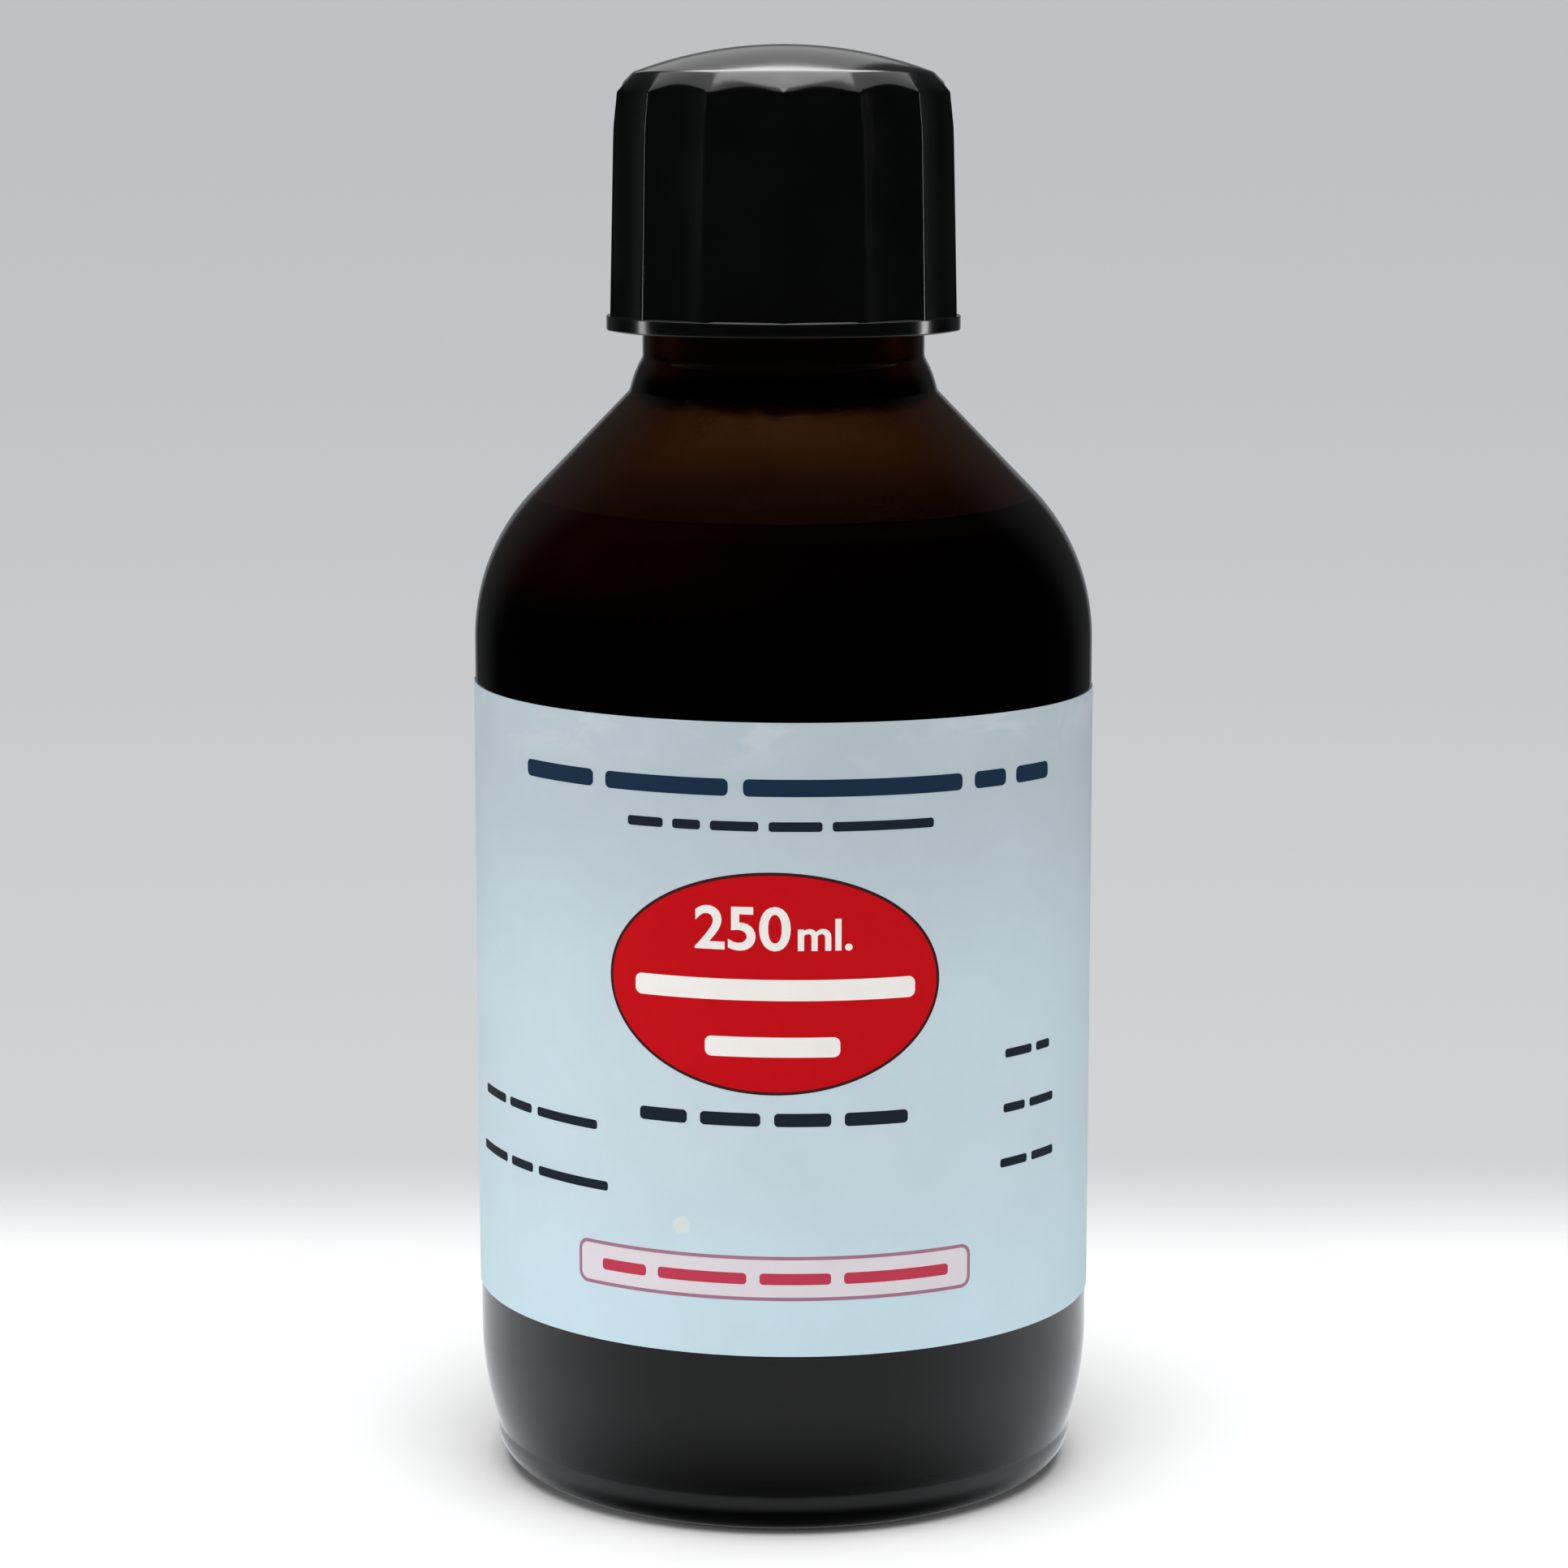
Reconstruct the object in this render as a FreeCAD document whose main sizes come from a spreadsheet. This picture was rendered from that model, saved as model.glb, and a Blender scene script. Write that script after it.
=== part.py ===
import FreeCAD, Part
import math
import os

import Sketcher

# Amber glass reagent bottle with a fluted screw cap, a lined cap top, a wrapped paper label and its liquid.
# +Z is up along the bottle's axis, Z = 0 is the bearing ring it stands on, and -Y is the label's front.
# All sizes are in millimetres, angles in degrees.

V = FreeCAD.Vector
doc = FreeCAD.newDocument("reagent_bottle")

# ---------------------------------------------------------------- driving dimensions
DIMENSIONS = [
    # body, heel and base
    ("body_radius", 31.95, "outer radius of the straight body"),
    ("wall", 2.60, "wall of the straight body"),
    ("heel_top", 14.5, "height where the body starts to draw in to the heel"),
    ("heel_radius", 34.0, "radius of the long heel curve"),
    ("seam_top_radius", 30.32, "radius above the base mould seam"),
    ("seam_top", 4.1, "height above the base mould seam"),
    ("seam_ridge_radius", 30.50, "radius of the base mould seam ridge"),
    ("seam_ridge", 3.5, "height of the base mould seam ridge"),
    ("foot_radius", 30.333, "radius under the base mould seam"),
    ("foot_top", 3.0, "height under the base mould seam"),
    ("foot_round", 3.7, "rounding from the foot to the bearing ring"),
    ("ring_outer", 26.7, "outer radius of the bearing ring"),
    ("ring_inner", 23.6, "inner radius of the bearing ring"),
    ("push_up", 2.4, "rise of the base centre above the bearing ring"),
    ("floor_centre", 6.2, "height of the inner floor at the axis"),
    ("floor_corner_radius", 19.75, "radius where the floor meets its corner round"),
    ("floor_corner", 4.4, "height where the floor meets its corner round"),
    ("corner_round", 9.6, "inner corner round between floor and wall"),
    ("corner_top", 14.0, "height where the corner round meets the wall"),
    # shoulder and neck
    ("shoulder_start", 87.3, "height where the shoulder curve starts"),
    ("shoulder_round", 21.7, "outer radius of the shoulder curve"),
    ("cone_base_radius", 25.81, "radius where the shoulder curve meets the cone"),
    ("cone_base", 102.43, "height where the shoulder curve meets the cone"),
    ("crease_radius", 15.78, "radius of the crease under the neck ring"),
    ("crease", 112.75, "height of the crease under the neck ring"),
    ("neck_ring_round", 10.9, "convexity of the neck ring"),
    ("neck_foot", 116.15, "height where the neck ring meets the neck"),
    ("neck_radius", 14.45, "outer radius of the neck between the threads"),
    ("finish_step", 138.45, "height where the neck steps in under the rim"),
    ("finish_step_top", 139.1, "top of that step"),
    ("finish_radius", 14.1, "outer radius under the rim"),
    ("rim_outer_round", 1.0, "outer rounding of the rim"),
    ("rim_inner_round", 1.2, "inner rounding of the rim"),
    ("rim_top", 141.3, "height of the glass rim"),
    ("bore_radius", 11.0, "radius of the neck bore"),
    ("bore_foot", 115.96, "height where the bore flares into the shoulder"),
    ("bore_flare", 5.0, "rounding of that flare"),
    ("flare_radius", 12.415, "radius where the flare meets the inner cone"),
    ("flare_foot", 112.475, "height where the flare meets the inner cone"),
    ("inner_cone_radius", 23.94, "radius where the inner cone meets the inner shoulder"),
    ("inner_cone_base", 100.62, "height where the inner cone meets the inner shoulder"),
    # neck thread
    ("pitch", 4.0, "thread pitch, one start, right hand"),
    ("neck_thread_start", 130.2, "centre height of the neck thread's lower end"),
    ("neck_thread_rise", 7.0, "rise of the full neck thread"),
    ("neck_thread_crest", 15.55, "radius of the neck thread's crest"),
    ("neck_thread_half_root", 1.15, "half width of the neck thread at the neck"),
    ("neck_thread_half_crest", 0.45, "half width of the neck thread at its crest"),
    ("thread_embed", 0.25, "depth to which a thread is rooted in its wall"),
    ("thread_run_out", 0.55, "rise of each thread's tapered end"),
    ("thread_run_out_slope", -63.0, "slope of each neck thread's tapered end"),
    # cap shell
    ("cap_bottom", 118.9, "height of the cap's lower edge"),
    ("cap_bottom_inner", 16.60, "inner radius of the lead-in at the lower edge"),
    ("cap_lead_in", 120.3, "top of the lead-in"),
    ("cap_bore", 15.95, "inner radius of the cap's skirt"),
    ("cap_bore_top", 138.9, "top of the skirt's bore"),
    ("bead_foot_radius", 15.0, "radius under the liner bead"),
    ("bead_foot", 139.85, "height under the liner bead"),
    ("bead_radius", 14.60, "radius of the bead that keeps the liner in"),
    ("bead_low", 140.25, "lower edge of the bead's crest"),
    ("bead_high", 140.85, "upper edge of the bead's crest"),
    ("seat_radius", 15.0, "radius of the liner seat"),
    ("seat_foot", 141.25, "lower end of the liner seat's wall"),
    ("seat_top", 143.45, "height of the face that the liner backs on"),
    ("crown_hollow_radius", 11.5, "radius of the hollow above the liner"),
    ("crown_hollow_edge", 144.35, "height of the hollow's edge"),
    ("crown_hollow_top", 145.9, "height of the hollow at the axis"),
    ("flange_radius", 18.17, "radius of the plain flange ring"),
    ("flange_edge", 0.18, "rounding of the flange's lower edge"),
    ("ledge", 120.4, "height of the flange ring's ledge"),
    ("skirt_foot_radius", 18.09, "radius of the ribs at the ledge"),
    ("skirt_top_radius", 17.66, "radius of the ribs at the top edge"),
    ("skirt_top", 142.1, "height where the top edge starts to round"),
    ("edge_round", 1.3, "rounding between the ribs and the top edge's slope"),
    ("slope_foot_radius", 17.279, "radius where the rounding meets the slope"),
    ("slope_foot", 143.019, "height where the rounding meets the slope"),
    ("dome_edge_radius", 15.32, "radius where the slope meets the dome"),
    ("dome_edge", 145.0, "height where the slope meets the dome"),
    ("dome_top", 147.8, "height of the dome at the axis"),
    ("flute_count", 14, "flutes round the skirt"),
    ("flute_depth", 0.66, "depth of each flute under the ribs"),
    ("flute_radius", 28.0, "radius of each flute's hollow at the ledge"),
    ("flute_radius_top", 28.675, "radius of each flute's hollow at its upper end"),
    ("flute_rise", 27.0, "height over which a flute is cut"),
    # cap thread
    ("cap_thread_drop", 1.51, "how far the cap's thread sits under the neck's"),
    ("cap_thread_rise", 6.0, "rise of the cap's thread"),
    ("cap_thread_crest", 14.85, "radius of the cap thread's crest"),
    ("cap_thread_half_root", 1.0, "half width of the cap thread at the skirt"),
    ("cap_thread_half_crest", 0.4, "half width of the cap thread at its crest"),
    # liner
    ("liner_radius", 14.85, "radius of the liner discs"),
    ("facing_bottom", 141.35, "height of the face that meets the rim"),
    ("facing_thickness", 0.25, "thickness of the facing film"),
    ("backing_thickness", 1.80, "thickness of the foam backing"),
    ("backing_edge", 0.20, "bevel round the foam backing's lower edge"),
    # label
    ("label_inner", 32.0, "inner radius of the label"),
    ("label_thickness", 0.10, "thickness of the label paper"),
    ("label_bottom", 19.3, "height of the label's lower edge"),
    ("label_height", 63.4, "height of the label"),
    ("label_wrap", 340.0, "angle that the label covers"),
    # liquid
    ("wet_gap", 0.05, "film between the liquid and the wall"),
    ("liquid_level", 100.0, "height of the liquid's surface"),
    ("liquid_level_radius", 24.449, "radius of the liquid's surface"),
]

sheet = doc.addObject("Spreadsheet::Sheet", "dims")
for row, (alias, number, note) in enumerate(DIMENSIONS, 1):
    sheet.set(f"A{row}", note)
    sheet.set(f"B{row}", str(number))
    sheet.setAlias(f"B{row}", alias)
doc.recompute()


class Size:
    """A length that knows its present number and the sheet expression it comes from."""

    def __init__(self, number, text):
        self.number, self.text = float(number), text

    def _with(self, other, sign):
        other = other if isinstance(other, Size) else Size(other, repr(other))
        number = self.number + other.number if sign == "+" else self.number - other.number
        return Size(number, f"({self.text} {sign} {other.text})")

    def __add__(self, other):
        return self._with(other, "+")

    def __sub__(self, other):
        return self._with(other, "-")

    def __neg__(self):
        return Size(-self.number, f"(0 - {self.text})")


class Sizes:
    def __getattr__(self, alias):
        return Size(sheet.get(alias), f"dims.{alias}")


d = Sizes()
AXIS = Size(0, "0")
# edges of a dome that is centred on the axis, drawn towards the axis or away from it
DOMED_UP, DOMED_DOWN = (None, 1), (None, -1)
SUB_PARTS = []


def sub_part(name):
    body = doc.addObject("PartDesign::Body", name)
    body.Label = name
    SUB_PARTS.append(body)
    return body


def origin_feature(body, role):
    return [f for f in body.Origin.OriginFeatures if f.Role == role][0]


def sketch_on(body, name, plane="XZ_Plane"):
    sketch = body.newObject("Sketcher::SketchObject", name)
    sketch.AttachmentSupport = [(origin_feature(body, plane), "")]
    sketch.MapMode = "FlatFace"
    return sketch


def arc_between(a, b, radius, turn):
    """The arc of this radius from a to b, with its centre to the left of a-b for turn 1 and to the right for -1."""
    middle, along = (a + b) * 0.5, b - a
    half = along.Length / 2
    side = V(-along.y, along.x, 0).normalize() * (turn * math.sqrt(radius**2 - half**2))
    centre = middle + side
    start, end = (a, b) if turn > 0 else (b, a)
    angle = [math.atan2(p.y - centre.y, p.x - centre.x) for p in (start, end)]
    circle = Part.Circle(centre, V(0, 0, 1), radius)
    return Part.ArcOfCircle(circle, angle[0], angle[1])


def closed_profile(sketch, corners):
    """Draws a closed outline. Each corner is (across, up, edge to the next corner), and an edge is None for a
    straight line, (radius, turn) for an arc, or an arc whose centre is on the axis. Every corner and radius is
    bound to the sheet."""
    places = [V(x.number, y.number, 0) for x, y, _ in corners]
    ends = []
    for i, (_, _, edge) in enumerate(corners):
        a, b = places[i], places[(i + 1) % len(places)]
        if edge is None:
            g = sketch.addGeometry(Part.LineSegment(a, b), False)
            ends.append((g, 1, 2))
        else:
            radius, turn = edge
            across, up = abs(b.x - a.x), abs(b.y - a.y)
            number = radius.number if radius else (across**2 + up**2) / (2 * up)
            g = sketch.addGeometry(arc_between(a, b, number, turn), False)
            ends.append((g, 1, 2) if turn > 0 else (g, 2, 1))
    for i, (g, _, last) in enumerate(ends):
        following = ends[(i + 1) % len(ends)]
        sketch.addConstraint(
            Sketcher.Constraint("Coincident", g, last, following[0], following[1])
        )
    for (x, y, edge), (g, first, _) in zip(corners, ends):
        for kind, size, axis in (("DistanceX", x, -2), ("DistanceY", y, -1)):
            if size.text == "0":
                sketch.addConstraint(
                    Sketcher.Constraint("PointOnObject", g, first, axis)
                )
                continue
            n = sketch.addConstraint(
                Sketcher.Constraint(kind, -1, 1, g, first, size.number)
            )
            sketch.setExpression(f"Constraints[{n}]", size.text)
        if edge is not None and edge[0] is None:
            sketch.addConstraint(Sketcher.Constraint("PointOnObject", g, 3, -2))
        elif edge is not None:
            n = sketch.addConstraint(
                Sketcher.Constraint("Radius", g, edge[0].number)
            )
            sketch.setExpression(f"Constraints[{n}]", edge[0].text)


def revolve(body, name, sketch):
    turned = body.newObject("PartDesign::Revolution", name)
    turned.Profile = sketch
    turned.ReferenceAxis = (sketch, ["V_Axis"])
    turned.Angle = 360
    return turned


def helix(body, name, sketch, rise, reversed_way=False, slope=None):
    ridge = body.newObject("PartDesign::AdditiveHelix", name)
    ridge.Profile = sketch
    ridge.ReferenceAxis = (sketch, ["V_Axis"])
    ridge.Mode = 0
    ridge.LeftHanded = False
    ridge.Reversed = reversed_way
    ridge.setExpression("Pitch", "dims.pitch")
    ridge.setExpression("Height", rise.text)
    ridge.Pitch, ridge.Height = d.pitch.number, rise.number
    if slope is not None:
        ridge.setExpression("Angle", slope.text)
        ridge.Angle = slope.number
    return ridge


# ---------------------------------------------------------------- bottle_glass
# One turned outline from the pushed-up base, round the heel, body, shoulder, neck ring, neck and rim, and back
# down the bore, shoulder and wall to the inner floor. The screw thread is added on the neck.
bottle = sub_part("bottle_glass")
inner_radius = d.body_radius - d.wall
outline = sketch_on(bottle, "bottle_outline")
closed_profile(
    outline,
    [
        (AXIS, d.push_up, DOMED_DOWN),
        (d.ring_inner, AXIS, None),
        (d.ring_outer, AXIS, (d.foot_round, 1)),
        (d.foot_radius, d.foot_top, None),
        (d.seam_ridge_radius, d.seam_ridge, None),
        (d.seam_top_radius, d.seam_top, (d.heel_radius, 1)),
        (d.body_radius, d.heel_top, None),
        (d.body_radius, d.shoulder_start, (d.shoulder_round, 1)),
        (d.cone_base_radius, d.cone_base, None),
        (d.crease_radius, d.crease, (d.neck_ring_round, 1)),
        (d.neck_radius, d.neck_foot, None),
        (d.neck_radius, d.finish_step, None),
        (d.finish_radius, d.finish_step_top, None),
        (d.finish_radius, d.rim_top - d.rim_outer_round, (d.rim_outer_round, 1)),
        (d.finish_radius - d.rim_outer_round, d.rim_top, None),
        (d.bore_radius + d.rim_inner_round, d.rim_top, (d.rim_inner_round, 1)),
        (d.bore_radius, d.rim_top - d.rim_inner_round, None),
        (d.bore_radius, d.bore_foot, (d.bore_flare, 1)),
        (d.flare_radius, d.flare_foot, None),
        (d.inner_cone_radius, d.inner_cone_base, (d.shoulder_round - d.wall, -1)),
        (inner_radius, d.shoulder_start, None),
        (inner_radius, d.corner_top, (d.corner_round, -1)),
        (d.floor_corner_radius, d.floor_corner, DOMED_UP),
        (AXIS, d.floor_centre, None),
    ],
)
revolve(bottle, "bottle_turned", outline)


def neck_thread_outline(sketch, mid, side=1):
    low_root, high_root = mid - d.neck_thread_half_root, mid + d.neck_thread_half_root
    low_crest, high_crest = mid - d.neck_thread_half_crest, mid + d.neck_thread_half_crest
    root, neck, crest = d.neck_radius - d.thread_embed, d.neck_radius, d.neck_thread_crest
    if side < 0:
        root, neck, crest = -root, -neck, -crest
    closed_profile(
        sketch,
        [
            (root, low_root, None),
            (neck, low_root, None),
            (crest, low_crest, None),
            (crest, high_crest, None),
            (neck, high_root, None),
            (root, high_root, None),
        ],
    )


neck_thread_sketch = sketch_on(bottle, "neck_thread_section")
neck_thread_outline(neck_thread_sketch, d.neck_thread_start)
helix(bottle, "neck_thread", neck_thread_sketch, d.neck_thread_rise)
# Both ends of the thread sink into the neck along a steep cone. The upper end is a quarter turn from a whole
# number of turns, so its section stands on the plane across.
upper_end = sketch_on(bottle, "neck_thread_upper_section", "YZ_Plane")
neck_thread_outline(upper_end, d.neck_thread_start + d.neck_thread_rise, -1)
helix(bottle, "neck_thread_upper_end", upper_end, d.thread_run_out, False, d.thread_run_out_slope)
lower_end = sketch_on(bottle, "neck_thread_lower_section")
neck_thread_outline(lower_end, d.neck_thread_start)
helix(bottle, "neck_thread_lower_end", lower_end, d.thread_run_out, True, d.thread_run_out_slope)

# ---------------------------------------------------------------- screw_cap
# A turned shell with a domed top, a hollow crown, a liner seat with its retaining bead, and a skirt with a plain
# flange ring. The skirt is fluted from the ledge up through the sloped top edge, and threaded inside.
cap = sub_part("screw_cap")
shell = sketch_on(cap, "cap_outline")
closed_profile(
    shell,
    [
        (d.cap_bottom_inner, d.cap_bottom, None),
        (d.flange_radius - d.flange_edge, d.cap_bottom, (d.flange_edge, 1)),
        (d.flange_radius, d.cap_bottom + d.flange_edge, None),
        (d.flange_radius, d.ledge, None),
        (d.skirt_foot_radius, d.ledge, None),
        (d.skirt_top_radius, d.skirt_top, (d.edge_round, 1)),
        (d.slope_foot_radius, d.slope_foot, None),
        (d.dome_edge_radius, d.dome_edge, DOMED_UP),
        (AXIS, d.dome_top, None),
        (AXIS, d.crown_hollow_top, DOMED_DOWN),
        (d.crown_hollow_radius, d.crown_hollow_edge, None),
        (d.crown_hollow_radius, d.seat_top, None),
        (d.seat_radius, d.seat_top, None),
        (d.seat_radius, d.seat_foot, None),
        (d.bead_radius, d.bead_high, None),
        (d.bead_radius, d.bead_low, None),
        (d.bead_foot_radius, d.bead_foot, None),
        (d.cap_bore, d.cap_bore_top, None),
        (d.cap_bore, d.cap_lead_in, None),
    ],
)
revolve(cap, "cap_turned", shell)

cap_thread_mid = d.neck_thread_start - d.cap_thread_drop
cap_thread_sketch = sketch_on(cap, "cap_thread_section")
closed_profile(
    cap_thread_sketch,
    [
        (d.cap_thread_crest, cap_thread_mid - d.cap_thread_half_crest, None),
        (d.cap_bore, cap_thread_mid - d.cap_thread_half_root, None),
        (d.cap_bore + d.thread_embed, cap_thread_mid - d.cap_thread_half_root, None),
        (d.cap_bore + d.thread_embed, cap_thread_mid + d.cap_thread_half_root, None),
        (d.cap_bore, cap_thread_mid + d.cap_thread_half_root, None),
        (d.cap_thread_crest, cap_thread_mid + d.cap_thread_half_crest, None),
    ],
)
helix(cap, "cap_thread", cap_thread_sketch, d.cap_thread_rise)

flute = cap.newObject("PartDesign::SubtractiveCone", "flute")
flute.setExpression("Radius1", "dims.flute_radius")
flute.setExpression("Radius2", "dims.flute_radius_top")
flute.setExpression("Height", "dims.flute_rise")
flute.setExpression(
    "Placement.Base.x", "dims.skirt_foot_radius - dims.flute_depth + dims.flute_radius"
)
flute.setExpression("Placement.Base.z", "dims.ledge")
doc.recompute()
flutes = cap.newObject("PartDesign::PolarPattern", "flutes")
flutes.Originals = [flute]
flutes.Axis = (origin_feature(cap, "Z_Axis"), [""])
flutes.Angle = 360
flutes.setExpression("Occurrences", "dims.flute_count")
cap.Tip = flutes

# ---------------------------------------------------------------- cap liner
# A foam backing disc with a bevelled lower edge, and the film under it that seals on the rim.
facing_top = d.facing_bottom + d.facing_thickness
backing_top = facing_top + d.backing_thickness

backing = sub_part("cap_liner_backing")
backing_sketch = sketch_on(backing, "backing_outline")
closed_profile(
    backing_sketch,
    [
        (AXIS, facing_top, None),
        (d.liner_radius - d.backing_edge, facing_top, None),
        (d.liner_radius, facing_top + d.backing_edge, None),
        (d.liner_radius, backing_top, None),
        (AXIS, backing_top, None),
    ],
)
revolve(backing, "backing_turned", backing_sketch)

facing = sub_part("cap_liner_facing")
facing_sketch = sketch_on(facing, "facing_outline")
closed_profile(
    facing_sketch,
    [
        (AXIS, d.facing_bottom, None),
        (d.liner_radius, d.facing_bottom, None),
        (d.liner_radius, facing_top, None),
        (AXIS, facing_top, None),
    ],
)
revolve(facing, "facing_turned", facing_sketch)

# ---------------------------------------------------------------- label_paper
# A strip of paper wrapped round the body, centred on the front, with its two ends apart at the back.
label = sub_part("label_paper")
label_sketch = sketch_on(label, "label_section", "YZ_Plane")
label_outer = d.label_inner + d.label_thickness
label_top = d.label_bottom + d.label_height
closed_profile(
    label_sketch,
    [
        (-label_outer, d.label_bottom, None),
        (-d.label_inner, d.label_bottom, None),
        (-d.label_inner, label_top, None),
        (-label_outer, label_top, None),
    ],
)
wrap = revolve(label, "label_wrapped", label_sketch)
wrap.Midplane = True
wrap.setExpression("Angle", "dims.label_wrap")

# ---------------------------------------------------------------- stain_solution
# The liquid fills the inside of the glass, a film's width from the wall, up to a level in the shoulder.
liquid = sub_part("stain_solution")
liquid_sketch = sketch_on(liquid, "liquid_outline")
wet_radius = inner_radius - d.wet_gap
closed_profile(
    liquid_sketch,
    [
        (AXIS, d.floor_centre + d.wet_gap, DOMED_DOWN),
        (d.floor_corner_radius, d.floor_corner + d.wet_gap, (d.corner_round - d.wet_gap, 1)),
        (wet_radius, d.corner_top, None),
        (wet_radius, d.shoulder_start, (d.shoulder_round - d.wall - d.wet_gap, 1)),
        (d.liquid_level_radius, d.liquid_level, None),
        (AXIS, d.liquid_level, None),
    ],
)
revolve(liquid, "liquid_turned", liquid_sketch)

# ---------------------------------------------------------------- check and write
doc.recompute()
for obj in doc.Objects:
    if any(word in obj.State for word in ("Invalid", "Error")):
        raise RuntimeError(f"{obj.Name} failed: {obj.State}")
for body in SUB_PARTS:
    shape = body.Shape
    if shape.isNull() or not shape.isValid() or len(shape.Solids) != 1:
        raise RuntimeError(f"{body.Label} has no single valid solid")

os.makedirs("parts", exist_ok=True)
for body in SUB_PARTS:
    body.Shape.exportStep(f"parts/{body.Label}.step")
    print(f"{body.Label}: {body.Shape.Volume / 1000:.3f} ml, {len(body.Shape.Faces)} faces")
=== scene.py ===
import math

import bmesh
import bpy
import numpy as np
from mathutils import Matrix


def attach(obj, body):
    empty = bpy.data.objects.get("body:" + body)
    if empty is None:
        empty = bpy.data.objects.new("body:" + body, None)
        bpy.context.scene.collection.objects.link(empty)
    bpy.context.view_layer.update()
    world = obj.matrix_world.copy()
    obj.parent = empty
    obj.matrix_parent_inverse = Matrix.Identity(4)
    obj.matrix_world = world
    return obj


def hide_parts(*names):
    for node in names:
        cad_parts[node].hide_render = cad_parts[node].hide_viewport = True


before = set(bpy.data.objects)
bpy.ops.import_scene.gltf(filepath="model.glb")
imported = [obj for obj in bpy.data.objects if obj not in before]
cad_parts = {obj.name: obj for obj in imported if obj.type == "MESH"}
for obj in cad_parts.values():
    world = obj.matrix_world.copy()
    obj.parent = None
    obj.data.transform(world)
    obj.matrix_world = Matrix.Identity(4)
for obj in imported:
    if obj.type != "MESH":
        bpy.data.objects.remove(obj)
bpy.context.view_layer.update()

# All lengths below are in millimetres and become metres when a mesh is made.
MM = 0.001
TAU = 2.0 * math.pi


# ---------------------------------------------------------------------------
# Profile and mesh helpers
# ---------------------------------------------------------------------------
def line(p, q, step):
    n = max(1, int(math.ceil(math.hypot(q[0] - p[0], q[1] - p[1]) / step)))
    return [(p[0] + (q[0] - p[0]) * i / n, p[1] + (q[1] - p[1]) * i / n) for i in range(n + 1)]


def arc(centre, radius, start, end, step=3.0):
    n = max(2, int(math.ceil(abs(end - start) / step)))
    turn = [math.radians(start + (end - start) * i / n) for i in range(n + 1)]
    return [(centre[0] + radius * math.cos(a), centre[1] + radius * math.sin(a)) for a in turn]


def dome(r_edge, z_edge, z_axis, rows):
    """Points from the axis out to the edge of a shallow spherical dome or dish."""
    rise = z_axis - z_edge
    big = (r_edge ** 2 + rise ** 2) / (2.0 * abs(rise))
    side = 1.0 if rise > 0 else -1.0
    out = []
    for i in range(rows + 1):
        r = r_edge * i / rows
        out.append((r, z_axis - side * (big - math.sqrt(big * big - r * r))))
    return out


def joined(*runs):
    out = []
    for run in runs:
        for p in run:
            if not out or math.hypot(p[0] - out[-1][0], p[1] - out[-1][1]) > 1e-4:
                out.append((float(p[0]), float(p[1])))
    return out


def eased(path, step=0.04, sigma=0.16):
    """The path with its creases rounded a little: resampled evenly and averaged along its length."""
    pts = np.array(path, float)
    run = np.concatenate([[0.0], np.cumsum(np.hypot(*np.diff(pts, axis=0).T))])
    n = int(run[-1] / step)
    at = np.linspace(0.0, run[-1], n + 1)
    fine = np.stack([np.interp(at, run, pts[:, k]) for k in (0, 1)], 1)
    reach = int(3 * sigma / step)
    kernel = np.exp(-0.5 * (np.arange(-reach, reach + 1) * step / sigma) ** 2)
    kernel /= kernel.sum()
    out = fine.copy()
    for k in (0, 1):
        padded = np.concatenate([2 * fine[0, k] - fine[reach:0:-1, k], fine[:, k], 2 * fine[-1, k] - fine[-2:-reach - 2:-1, k]])
        out[:, k] = np.convolve(padded, kernel, "valid")
    out[0], out[-1] = fine[0], fine[-1]
    return out


def thinned(path, tolerance=0.004, longest=2.5):
    """Fewer points on a fine path: as far apart as the curve allows."""
    pts = np.array(path, float)
    keep, i = [0], 0
    while i < len(pts) - 1:
        j = i + 1
        while j + 1 < len(pts):
            k = j + 1
            chord = pts[k] - pts[i]
            size = math.hypot(*chord)
            if size > longest:
                break
            off = pts[i + 1:k] - pts[i]
            if np.abs(off[:, 0] * chord[1] - off[:, 1] * chord[0]).max() / max(size, 1e-9) > tolerance:
                break
            j = k
        keep.append(j)
        i = j
    return [tuple(p) for p in pts[keep]]


def smoothstep(lo, hi, x):
    t = np.clip((x - lo) / (hi - lo), 0.0, 1.0)
    return t * t * (3.0 - 2.0 * t)


def soft_min(a, b, k):
    h = np.maximum(k - np.abs(a - b), 0.0) / k
    return np.minimum(a, b) - h * h * k * 0.25


def new_object(name, verts, faces, body, slot, material=None, stands_for=None, sharp=None):
    mesh = bpy.data.meshes.new(name)
    mesh.from_pydata((np.asarray(verts, float) * MM).tolist(), [], faces)
    mesh.validate()
    mesh.shade_smooth()
    if sharp is not None:
        mesh.set_sharp_from_angle(angle=math.radians(sharp))
    mesh.update()
    ob = bpy.data.objects.new(name, mesh)
    bpy.context.scene.collection.objects.link(ob)
    if material is not None:
        mesh.materials.append(material)
    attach(ob, body)
    if stands_for:
        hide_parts(stands_for)
    return ob


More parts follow.
